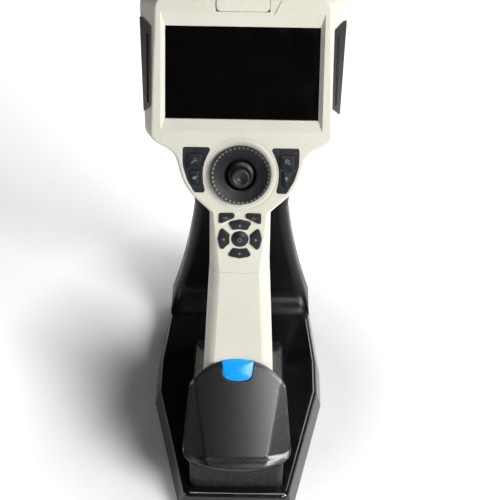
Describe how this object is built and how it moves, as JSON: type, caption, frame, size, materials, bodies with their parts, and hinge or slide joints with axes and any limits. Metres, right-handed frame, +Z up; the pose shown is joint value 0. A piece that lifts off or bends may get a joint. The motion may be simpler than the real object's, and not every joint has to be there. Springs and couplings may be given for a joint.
{
  "type": "handheld videoscope on a desk stand",
  "caption": "Handheld inspection-camera handset with display, thumb stick, keys and slide-off battery foot, resting on a hexagonal desk stand with an hourglass column.",
  "frame": {"origin": "on the floor under the middle of the stand's outline", "axes": "+Z up, -Y towards the user, X across the display"},
  "size_m": [0.1572, 0.278, 0.396],
  "materials": {
    "ivory": "satin",
    "black_gloss": "gloss",
    "black_matte": "fine texture",
    "black_rubber": "matte",
    "screen_glass": "gloss",
    "panel_dark": "gloss",
    "steel": "brushed",
    "alloy": "machined",
    "brass": "plain",
    "board": "solder mask",
    "blue": "satin",
    "key_dark": "satin",
    "cell_wrap": "shrink wrap",
    "ballast": "plain",
    "grey_rubber": "matte"
  },
  "bodies": {
    "stand": {"stand_base": "black_gloss", "stand_column": "black_gloss", "column_back_cover": "black_matte", "head_rest_pad": "grey_rubber", "stand_bottom_cover": "black_matte", "stand_ballast": "ballast", "stand_foot_pads": "black_rubber", "stand_screws": "steel"},
    "handset": {"front_shell": "ivory", "rear_shell": "ivory", "grip_sleeve": "ivory", "foot_deck": "black_matte", "display_window": "screen_glass", "window_gasket": "black_rubber", "display_panel": "panel_dark", "display_bracket": "steel", "main_board": "board", "left_grip_insert": "black_rubber", "right_grip_insert": "black_rubber", "left_key_plate": "key_dark", "right_key_plate": "key_dark", "keypad_board": "board", "key_domes": "grey_rubber", "joystick_bracket": "alloy", "probe_socket": "alloy", "port_connectors": "steel", "shell_screws": "steel", "handset_contacts": "brass"},
    "flap": {"port_flap": "ivory"},
    "dial": {"lock_dial": "key_dark"},
    "brake": {"brake_ring": "alloy"},
    "gimbal": {"gimbal_ring": "alloy"},
    "stick": {"joystick_stem": "key_dark", "thumb_cap": "key_dark", "swash_plate": "alloy"},
    "battery": {"battery_tray": "black_matte", "battery_cover": "black_matte", "battery_cells": "cell_wrap", "cell_links": "steel", "battery_board": "board", "battery_terminals": "brass", "battery_screws": "steel", "latch_spring": "steel"},
    "button": {"release_button": "blue"},
    "latch": {"latch_hook": "steel"},
    "key_tool_body": {"key_tool": "key_dark"},
    "key_hand_body": {"key_hand": "key_dark"},
    "key_zoom_body": {"key_zoom": "key_dark"},
    "key_light_body": {"key_light": "key_dark"},
    "key_book_body": {"key_book": "key_dark"},
    "key_capture_body": {"key_capture": "key_dark"},
    "key_up_body": {"key_up": "key_dark"},
    "key_down_body": {"key_down": "key_dark"},
    "key_left_body": {"key_left": "key_dark"},
    "key_right_body": {"key_right": "key_dark"},
    "key_centre_body": {"key_centre": "key_dark"}
  },
  "joints": [
    {"name": "handset_lift", "type": "slide", "parent": "stand", "child": "handset", "axis": [0, 0, 1], "range_m": [0, 0.15]},
    {"name": "battery_slide", "type": "slide", "parent": "handset", "child": "battery", "axis": [0, -0.9613, 0.2756], "range_m": [0, 0.12]},
    {"name": "flap_hinge", "type": "hinge", "parent": "handset", "child": "flap", "pos_m": [0, 0.05792, 0.38618], "axis": [-1, 0, 0], "range_deg": [0, 95]},
    {"name": "dial_turn", "type": "hinge", "parent": "handset", "child": "dial", "pos_m": [0, -0.022, 0.2716], "axis": [0, -0.8949, 0.4462], "range_deg": [-50, 0]},
    {"name": "brake_slide", "type": "slide", "parent": "handset", "child": "brake", "axis": [0, -0.8949, 0.4462], "range_m": [0, 0.0012]},
    {"name": "stick_pitch", "type": "hinge", "parent": "handset", "child": "gimbal", "pos_m": [0, -0.01037, 0.2658], "axis": [1, 0, 0], "range_deg": [-11, 11], "stiffness_Nm_per_rad": 0.05},
    {"name": "stick_roll", "type": "hinge", "parent": "gimbal", "child": "stick", "pos_m": [0, -0.01037, 0.2658], "axis": [0, 0.4462, 0.8949], "range_deg": [-11, 11], "stiffness_Nm_per_rad": 0.05},
    {"name": "release_press", "type": "slide", "parent": "battery", "child": "button", "axis": [0, 0.766, -0.6428], "range_m": [0, 0.0008], "stiffness_N_per_m": 200},
    {"name": "latch_slide", "type": "slide", "parent": "battery", "child": "latch", "axis": [0, -0.9613, 0.2756], "range_m": [0, 0.0012], "deforming": ["latch_spring"]},
    {"name": "key_tool_press", "type": "slide", "parent": "handset", "child": "key_tool_body", "axis": [0, 0.8949, -0.4462], "range_m": [0, 0.001], "stiffness_N_per_m": 300},
    {"name": "key_hand_press", "type": "slide", "parent": "handset", "child": "key_hand_body", "axis": [0, 0.8949, -0.4462], "range_m": [0, 0.001], "stiffness_N_per_m": 300},
    {"name": "key_zoom_press", "type": "slide", "parent": "handset", "child": "key_zoom_body", "axis": [0, 0.8949, -0.4462], "range_m": [0, 0.001], "stiffness_N_per_m": 300},
    {"name": "key_light_press", "type": "slide", "parent": "handset", "child": "key_light_body", "axis": [0, 0.8949, -0.4462], "range_m": [0, 0.001], "stiffness_N_per_m": 300},
    {"name": "key_book_press", "type": "slide", "parent": "handset", "child": "key_book_body", "axis": [0, 0.9613, -0.2756], "range_m": [0, 0.001], "stiffness_N_per_m": 300},
    {"name": "key_capture_press", "type": "slide", "parent": "handset", "child": "key_capture_body", "axis": [0, 0.9613, -0.2756], "range_m": [0, 0.001], "stiffness_N_per_m": 300},
    {"name": "key_up_press", "type": "slide", "parent": "handset", "child": "key_up_body", "axis": [0, 0.9613, -0.2756], "range_m": [0, 0.001], "stiffness_N_per_m": 300},
    {"name": "key_down_press", "type": "slide", "parent": "handset", "child": "key_down_body", "axis": [0, 0.9613, -0.2756], "range_m": [0, 0.001], "stiffness_N_per_m": 300},
    {"name": "key_left_press", "type": "slide", "parent": "handset", "child": "key_left_body", "axis": [0, 0.9613, -0.2756], "range_m": [0, 0.001], "stiffness_N_per_m": 300},
    {"name": "key_right_press", "type": "slide", "parent": "handset", "child": "key_right_body", "axis": [0, 0.9613, -0.2756], "range_m": [0, 0.001], "stiffness_N_per_m": 300},
    {"name": "key_centre_press", "type": "slide", "parent": "handset", "child": "key_centre_body", "axis": [0, 0.9613, -0.2756], "range_m": [0, 0.001], "stiffness_N_per_m": 300}
  ],
  "couplings": [
    {"joint": "dial_turn", "follows": "brake_slide", "rad_per_m": -727.22},
    {"joint": "latch_slide", "follows": "release_press", "ratio": 1.5}
  ]
}
